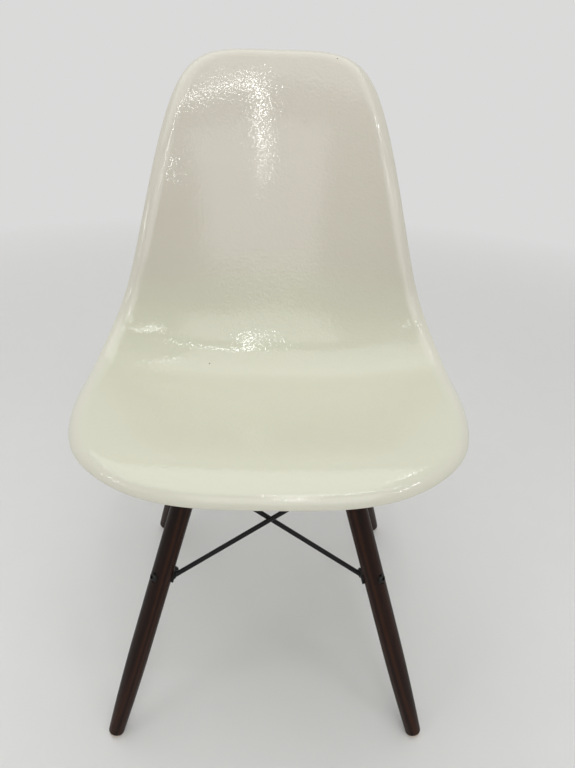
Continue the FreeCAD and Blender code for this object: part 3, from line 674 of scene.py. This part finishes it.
# holds a node tree with named inputs, for what repeats or follows a line
class TreeMaker:
    def __init__(self, name, inputs):
        self.tree = bpy.data.node_groups.new(name, "GeometryNodeTree")
        face = self.tree.interface
        for direction in ("INPUT", "OUTPUT"):
            face.new_socket(name="Geometry", in_out=direction, socket_type="NodeSocketGeometry")
        self.names = {}
        for label, value in inputs.items():
            kind = "NodeSocket" + {type(None): "Material", int: "Int", float: "Float"}[type(value)]
            socket = face.new_socket(name=label, in_out="INPUT", socket_type=kind)
            if value is not None:
                socket.default_value = value
            self.names[label] = socket.identifier
        self.inputs = addNode(self.tree, "NodeGroupInput").outputs

    def add(self, kind, inputs=None, **settings):
        kind = kind if kind.startswith(("Shader", "Function")) else "GeometryNode" + kind
        return addNode(self.tree, kind, inputs, **settings).outputs[0]

    def math(self, operation, *values):
        return doMath(self.tree, operation, *values)

    plus = partialmethod(math, "ADD")
    minus = partialmethod(math, "SUBTRACT")
    times = partialmethod(math, "MULTIPLY")
    over = partialmethod(math, "DIVIDE")

    def join(self, *parts):
        node = addNode(self.tree, "GeometryNodeJoinGeometry")
        for part in parts:
            self.tree.links.new(part, node.inputs[0])
        return node.outputs[0]

    def cylinder(self, sides, rows, radius, depth, fill="NONE"):
        inputs = {"Vertices": sides, "Side Segments": rows, "Radius": radius, "Depth": depth}
        return self.add("MeshCylinder", inputs, fill_type=fill)

    def disc(self, sides, radius):
        return self.add("MeshCircle", {"Vertices": sides, "Radius": radius}, fill_type="NGON")

    def circle(self, sides, radius):
        return self.add("CurvePrimitiveCircle", {"Resolution": sides, "Radius": radius})

    def flipped(self, mesh):
        return self.add("FlipFaces", {"Mesh": mesh})

    def merged(self, mesh):
        return self.add("MergeByDistance", {"Geometry": mesh, "Distance": fineness["mergeDistance"]})

    def lifted(self, geometry, height):
        offset = self.add("ShaderNodeCombineXYZ", {"Z": height})
        return self.add("Transform", {"Geometry": geometry, "Translation": offset})

    # sets each point's distance from the axis by a rule of its angle and height
    def reshaped(self, geometry, radiusOf):
        x, y, z = addNode(self.tree, "ShaderNodeSeparateXYZ", {0: self.add("InputPosition")}).outputs
        radius = self.math("SQRT", self.plus(self.times(x, x), self.times(y, y)))
        angle = self.math("ARCTAN2", y, x)
        scale = self.over(radiusOf(angle, z), self.math("MAXIMUM", radius, fineness["axisReach"]))
        moved = {"X": self.times(x, scale), "Y": self.times(y, scale), "Z": z}
        place = self.add("ShaderNodeCombineXYZ", moved)
        return self.add("SetPosition", {"Geometry": geometry, "Position": place})

    # puts a piece at each point, along the point's outward direction and turned by chance about it
    def placed(self, instance, spin):
        outward, upward = (self.add("InputNamedAttribute", {"Name": name}, data_type="FLOAT_VECTOR")
                           for name in ("outward", "upward"))
        rotation = self.add("FunctionNodeAlignRotationToVector", {"Vector": outward}, axis="Z")
        rotation = self.add("FunctionNodeAlignRotationToVector", {"Rotation": rotation, "Vector": upward},
                            axis="X", pivot_axis="Z")
        seed = {"Seed": self.inputs["Seed"]}
        chance = addNode(self.tree, "FunctionNodeRandomValue", seed, data_type="FLOAT")
        turn = [socket for socket in chance.outputs if socket.enabled][0]
        turnBy = self.add("FunctionNodeAxisAngleToRotation",
                          {"Axis": (0, 0, 1), "Angle": self.times(turn, spin)})
        rotation = self.add("FunctionNodeRotateRotation", {"Rotation": rotation, "Rotate By": turnBy},
                            rotation_space="LOCAL")
        return self.add("InstanceOnPoints",
                        {"Points": self.inputs["Geometry"], "Instance": instance, "Rotation": rotation})

    def finish(self, geometry):
        whole = self.add("RealizeInstances", {"Geometry": geometry})
        painted = self.add("SetMaterial", {"Geometry": whole, "Material": self.inputs["Material"]})
        addNode(self.tree, "NodeGroupOutput", {0: painted})
        return self


def growPiece(name, source, maker, values):
    grower = source.modifiers.new(name, "NODES")
    grower.node_group = maker.tree
    for label, value in values.items():
        grower[maker.names[label]] = value
    mesh = plainMesh(source)
    mesh.name = name
    for attribute in [a.name for a in mesh.attributes if a.name in ("outward", "upward")]:
        mesh.attributes.remove(mesh.attributes[attribute])
    bpy.data.objects.remove(source)
    return newObject(name, mesh)


def rodTree():
    maker = TreeMaker("sweptRod", {
        "Radius": 0.003, "Sides": 24, "Ripple": 0.0, "Ripple Length": 0.002, "Wave Share": 0.35,
        "Lump Share": 3.0, "Lump Scale": 260.0, "Spacing": 0.002, "Seed": 1, "Material": None})
    take = maker.inputs
    line = maker.add("MeshToCurve", {"Mesh": take["Geometry"]})
    line = maker.add("ResampleCurve", {"Curve": line, "Length": take["Spacing"]}, mode="LENGTH")
    spline = addNode(maker.tree, "GeometryNodeSplineParameter")
    phase = maker.over(spline.outputs["Length"], take["Ripple Length"])
    wave = maker.math("SINE", maker.times(phase, 2 * pi))
    lumps = addNode(maker.tree, "ShaderNodeTexNoise", {
        "Vector": maker.add("InputPosition"), "W": take["Seed"], "Scale": take["Lump Scale"]},
        noise_dimensions="4D").outputs["Fac"]
    swell = maker.plus(maker.times(wave, take["Wave Share"]),
                       maker.times(maker.minus(lumps, 0.5), take["Lump Share"]))
    scale = maker.plus(1.0, maker.times(swell, take["Ripple"]))
    profile = maker.circle(take["Sides"], take["Radius"])
    swept = {"Curve": line, "Profile Curve": profile, "Scale": scale, "Fill Caps": True}
    return maker.finish(maker.add("CurveToMesh", swept))


def threadedEnd(maker, radius, length, pitch):
    stub = maker.cylinder(fineness["threadSides"], fineness["threadRows"], radius, length, "NGON")

    def threadRadius(angle, z):
        turns = maker.plus(maker.over(z, pitch), maker.over(angle, 2 * pi))
        return maker.minus(radius, maker.times(maker.math("PINGPONG", turns, 0.5), pitch))

    return maker.reshaped(stub, threadRadius)


def domeBoltTree():
    maker = TreeMaker("domeBolt", {
        "Seat": 0.0125, "Head Radius": 0.0053, "Top Radius": 0.0027, "Head Height": 0.0032,
        "Socket Flats": 0.004, "Socket Depth": 0.002, "Shank Radius": 0.003, "Shank Length": 0.02,
        "Pitch": 0.001, "Sunk": 0.0002, "Spin": 6.28, "Seed": 3, "Material": None})
    take = maker.inputs
    sides, height = fineness["domeSides"], take["Head Height"]
    half = maker.times(height, 0.5)

    def domeRadius(angle, z):
        share = maker.over(maker.plus(z, half), height)
        share = maker.math("MINIMUM", maker.math("MAXIMUM", share, 0.0), 1.0)
        fall = maker.math("SQRT", maker.minus(1.0, maker.times(share, share)))
        span = maker.minus(take["Head Radius"], take["Top Radius"])
        return maker.plus(take["Top Radius"], maker.times(span, fall))

    head = maker.cylinder(sides, fineness["domeRows"], take["Head Radius"], height)
    dome = maker.lifted(maker.reshaped(head, domeRadius), half)
    # the hexagon socket in the head's flat top
    corner = maker.over(take["Socket Flats"], 2 * cos(pi / 6))
    edges = maker.join(maker.circle(sides, take["Top Radius"]), maker.circle(6, corner))
    face = maker.lifted(maker.add("FillCurve", {"Curve": edges}, mode="TRIANGLES"), height)
    wall = maker.flipped(maker.cylinder(6, 2, corner, take["Socket Depth"]))
    wall = maker.lifted(wall, maker.minus(height, maker.times(take["Socket Depth"], 0.5)))
    bottom = maker.lifted(maker.disc(6, corner), maker.minus(height, take["Socket Depth"]))
    under = maker.flipped(maker.disc(sides, take["Head Radius"]))
    whole = maker.merged(maker.join(dome, face, wall, bottom, under))
    # the shank starts a little way inside the head
    thread = threadedEnd(maker, take["Shank Radius"], take["Shank Length"], take["Pitch"])
    middle = maker.minus(take["Sunk"], maker.times(take["Shank Length"], 0.5))
    whole = maker.lifted(maker.join(whole, maker.lifted(thread, middle)), take["Seat"])
    return maker.finish(maker.placed(whole, take["Spin"]))


def washerTree():
    maker = TreeMaker("plainWasher", {
        "Seat": 0.0113, "Radius": 0.0065, "Bore Radius": 0.0033, "Thickness": 0.0012, "Edge": 0.0002,
        "Edge Steps": 3, "Spin": 1.0, "Seed": 1, "Material": None})
    take = maker.inputs
    middle = maker.times(maker.plus(take["Radius"], take["Bore Radius"]), 0.5)
    width = maker.minus(take["Radius"], take["Bore Radius"])
    section = maker.add("CurvePrimitiveQuadrilateral", {"Width": width, "Height": take["Thickness"]})
    rounded = {"Curve": section, "Radius": take["Edge"], "Count": take["Edge Steps"]}
    section = maker.add("FilletCurve", rounded, mode="POLY")
    circle = maker.circle(fineness["ringSides"], middle)
    ring = maker.add("CurveToMesh", {"Curve": circle, "Profile Curve": section})
    height = maker.plus(take["Seat"], maker.times(take["Thickness"], 0.5))
    return maker.finish(maker.placed(maker.lifted(ring, height), take["Spin"]))


def hexTree():
    maker = TreeMaker("hexPiece", {
        "Seat": 0.0, "Flats": 0.010, "Height": 0.005, "Spin": 6.28, "Seed": 2, "Material": None})
    take = maker.inputs
    half = maker.times(take["Height"], 0.5)
    flat = maker.times(take["Flats"], 0.5)
    capRadius = maker.times(flat, fineness["capShare"])

    # six flat sides, with each end's corners cut by a cone
    def hexRadius(angle, z):
        sector = maker.minus(maker.math("FLOORED_MODULO", angle, pi / 3), pi / 6)
        reach = maker.over(flat, maker.math("COSINE", sector))
        left = maker.minus(half, maker.math("ABSOLUTE", z))
        cone = maker.plus(capRadius, maker.times(left, fineness["capSlope"]))
        return maker.math("MINIMUM", reach, cone)

    sides = maker.cylinder(fineness["hexSides"], fineness["hexRows"], flat, take["Height"])
    cap = maker.disc(fineness["hexSides"], capRadius)
    low = maker.lifted(maker.flipped(cap), maker.times(half, -1.0))
    whole = maker.merged(maker.join(maker.reshaped(sides, hexRadius), maker.lifted(cap, half), low))
    return maker.finish(maker.placed(maker.lifted(whole, maker.plus(take["Seat"], half)), take["Spin"]))


def pointsPiece(places, outwards, upwards):
    piece = newPiece("places", places, [])
    for label, values in (("outward", outwards), ("upward", upwards)):
        attribute = piece.data.attributes.new(label, "FLOAT_VECTOR", "POINT")
        attribute.data.foreach_set("vector", np.array([tuple(v) for v in values], float).ravel())
    return piece


rods, domeBolts, washers, hexPieces = rodTree(), domeBoltTree(), washerTree(), hexTree()
print("node trees ready")


# sets a like fastener at each place, with its outward and upward direction
def addFasteners(name, maker, directions, values, slotName, node):
    finishPiece(growPiece(name, pointsPiece(*directions), maker, values), slotName, node)


# bolts, washers and nuts at the legs, as heights along a bolt's own axis
boltSizes = {
    "washerSeat": 0.0113, "headSeat": 0.0125, "nutSeat": 0.0185, "nutHeight": 0.005, "spare": 0.0015,
    "seeds": {"lower": 3, "upper": 8}}
boltReach = boltSizes["headSeat"] + boltSizes["nutSeat"] + boltSizes["nutHeight"] + boltSizes["spare"]
for level, height in (("lower", lowerBolt), ("upper", upperBolt)):
    places = [legPlace @ Vector((0, 0, height * axisLength)) for legPlace in legFrames.values()]
    outwards = [legPlace.col[0].to_3d() for legPlace in legFrames.values()]
    upwards = [legPlace.col[2].to_3d() for legPlace in legFrames.values()]
    outer, inner = (places, outwards, upwards), (places, [-outward for outward in outwards], upwards)
    steel = {"Seed": boltSizes["seeds"][level], "Material": blackSteel}
    bolt = {"Seat": boltSizes["headSeat"], "Shank Length": boltReach, **steel}
    washer = {"Seat": boltSizes["washerSeat"], "Material": blackSteel}
    nut = {"Seat": boltSizes["nutSeat"], **steel}
    for name, maker, directions, values, node in (
            ("dome_bolts", domeBolts, outer, bolt, "bolts"),
            ("bolt_washers", washers, outer, washer, "washers"),
            ("hex_nuts", hexPieces, inner, nut, "nuts")):
        addFasteners(f"{level}_{name}", maker, directions, values, "bolt_steel", f"{level}_leg_{node}")


# rods cross between the legs, and a weld runs round each end
rodSizes = {
    "radius": 0.003, "gap": 0.0001, "saddleInner": 0.0135, "saddleThickness": 0.003,
    "stripThickness": 0.004, "stripWidth": 0.024, "edgeInset": 0.004, "lowerAngle": 40.0,
    "aboveBolt": 0.003, "aboveLeg": 0.003, "sides": 32, "spacing": 0.004, "weldPoints": 28}
weldSizes = {
    "Radius": 0.0013, "Sides": 12, "Spacing": 0.0005, "Ripple": 0.22, "Ripple Length": 0.0016, "Seed": 4}
rodLow = lowerBolt + rodSizes["aboveBolt"]
rodHigh = legTop + rodSizes["aboveLeg"]
around = {
    "front": ("front_left", "front_right"), "right": ("front_right", "rear_right"),
    "rear": ("rear_right", "rear_left"), "left": ("rear_left", "front_left")}


# a rod's low and high end at one leg, each with the outward direction of the steel there
def rodEnds(corner, turn, sizes):
    legPlace = legFrames[corner]
    turned = legPlace.to_3x3()
    angle = radians(sizes["lowerAngle"])
    radial = Vector((-cos(angle), turn * sin(angle), 0))
    low = radial * (sizes["saddleInner"] + sizes["saddleThickness"] / 2)
    low.z = rodLow * axisLength
    high = Vector((-sizes["saddleInner"] - sizes["stripThickness"] / 2,
                   turn * (sizes["stripWidth"] / 2 - sizes["edgeInset"]), rodHigh * axisLength))
    return (legPlace @ low, turned @ radial), (legPlace @ high, turned @ Vector((-1, 0, 0)))


# goes round a rod where it meets the steel that it is welded to
def weldLoop(start, ahead, normal, clear, sizes):
    surface = start + normal * clear
    points = []
    side = ahead.cross(normal).normalized()
    other = side.cross(ahead)
    for x, y in circlePoints(sizes["weldPoints"]):
        onRod = start + sizes["radius"] * (x * side + y * other)
        points.append(onRod + ahead * ((surface - onRod).dot(normal) / ahead.dot(normal)))
    return points


# joins the points of each loop in turn, the last with the first
def loopEdges(loops, count):
    return [(first + i, first + (i + 1) % count)
            for first in range(0, len(loops), count) for i in range(count)]


def makeRods(sizes):
    loops = []
    for name, (one, other) in around.items():
        oneLow, oneHigh = rodEnds(one, 1, sizes)
        otherLow, otherHigh = rodEnds(other, -1, sizes)
        outward = (otherHigh[0] - oneLow[0]).cross(oneHigh[0] - otherLow[0]).normalized()
        shift = outward * (sizes["radius"] + sizes["gap"] / 2)
        for label, (start, startOut), (end, endOut), move in (
                ("outer", oneLow, otherHigh, shift), ("inner", otherLow, oneHigh, -shift)):
            start, end = start + move, end + move
            line = newPiece("rod_line", [start, end], [], edges=[(0, 1)])
            rod = growPiece(f"rod_{name}_{label}", line, rods, {
                "Radius": sizes["radius"], "Sides": sizes["sides"], "Spacing": sizes["spacing"],
                "Material": blackPaint})
            finishPiece(rod, "frame_paint", f"strut_{name}_{label}")
            ahead = (end - start).normalized()
            loops += weldLoop(start, ahead, startOut, sizes["saddleThickness"] / 2, sizes)
            loops += weldLoop(end, -ahead, endOut, sizes["stripThickness"] / 2, sizes)
    line = newPiece("weld_lines", loops, [], edges=loopEdges(loops, sizes["weldPoints"]))
    finishPiece(growPiece("rod_welds", line, rods, {**weldSizes, "Material": blackPaint}), "frame_paint")


makeRods(rodSizes)


# each mount has a screw with a washer under its plate, and a bead of glue round its top
mountSizes = {
    "plateThickness": 0.004, "washerThickness": 0.0012, "screwFlats": 0.010, "screwHeight": 0.004,
    "topRadius": 0.0235, "beadRise": 0.3, "beadPoints": 60, "probeDrop": 0.02}
beadSizes = {
    "Radius": 0.0011, "Sides": 14, "Spacing": 0.0015, "Ripple": 0.12, "Ripple Length": 0.011, "Seed": 9}


def makeMountFixings(sizes):
    bases = []
    for side, end in corners.values():
        height = plates[end]
        across = legSizes["footHalfWidth"] - legSizes["lean"] * height
        back = legSizes["footHalfDepth"] - legSizes["lean"] * height
        bases.append(Vector((side * across, baseMiddle + end * back, height)))
    directions = bases, [Vector((0, 0, -1))] * 4, [Vector((1, 0, 0))] * 4
    addFasteners("mount_screw_heads", hexPieces, directions,
                 {"Seat": sizes["plateThickness"] + sizes["washerThickness"], "Flats": sizes["screwFlats"],
                  "Height": sizes["screwHeight"], "Seed": 5, "Material": zincSteel},
                 "screw_steel", "mount_screws")
    addFasteners("mount_screw_washers", washers, directions,
                 {"Seat": sizes["plateThickness"], "Material": zincSteel}, "screw_steel", "mount_washers")
    # a bead of glue follows the shell's underside round each mount
    surface = BVHTree.FromObject(shell, bpy.context.evaluated_depsgraph_get())
    rise = beadSizes["Radius"] * sizes["beadRise"]
    reach = sizes["topRadius"] + rise
    loops = []
    for base in bases:
        for x, y in circlePoints(sizes["beadPoints"]):
            start = base + Vector((reach * x, reach * y, -sizes["probeDrop"]))
            hit, normal = surface.ray_cast(start, Vector((0, 0, 1)))[:2]
            loops.append(hit + normal * rise)
    line = newPiece("bead_lines", loops, [], edges=loopEdges(loops, sizes["beadPoints"]))
    beads = growPiece("mount_glue_beads", line, rods, {**beadSizes, "Material": blackRubber})
    finishPiece(beads, "mount_rubber")


makeMountFixings(mountSizes)


# the pieces that stay as they came get their finish, by the start of their name
plainFinishes = {
    "bracket": blackPaint, "tab": blackPaint, "mount_insert": zincSteel, "glide_nails": zincSteel,
    "mount": blackRubber, "glide": paleGlide}
for node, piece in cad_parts.items():
    if not piece.hide_render:
        start = next(start for start in plainFinishes if node.startswith(start))
        piece.data.materials.clear()
        piece.data.materials.append(plainFinishes[start])
print("plain pieces finished")
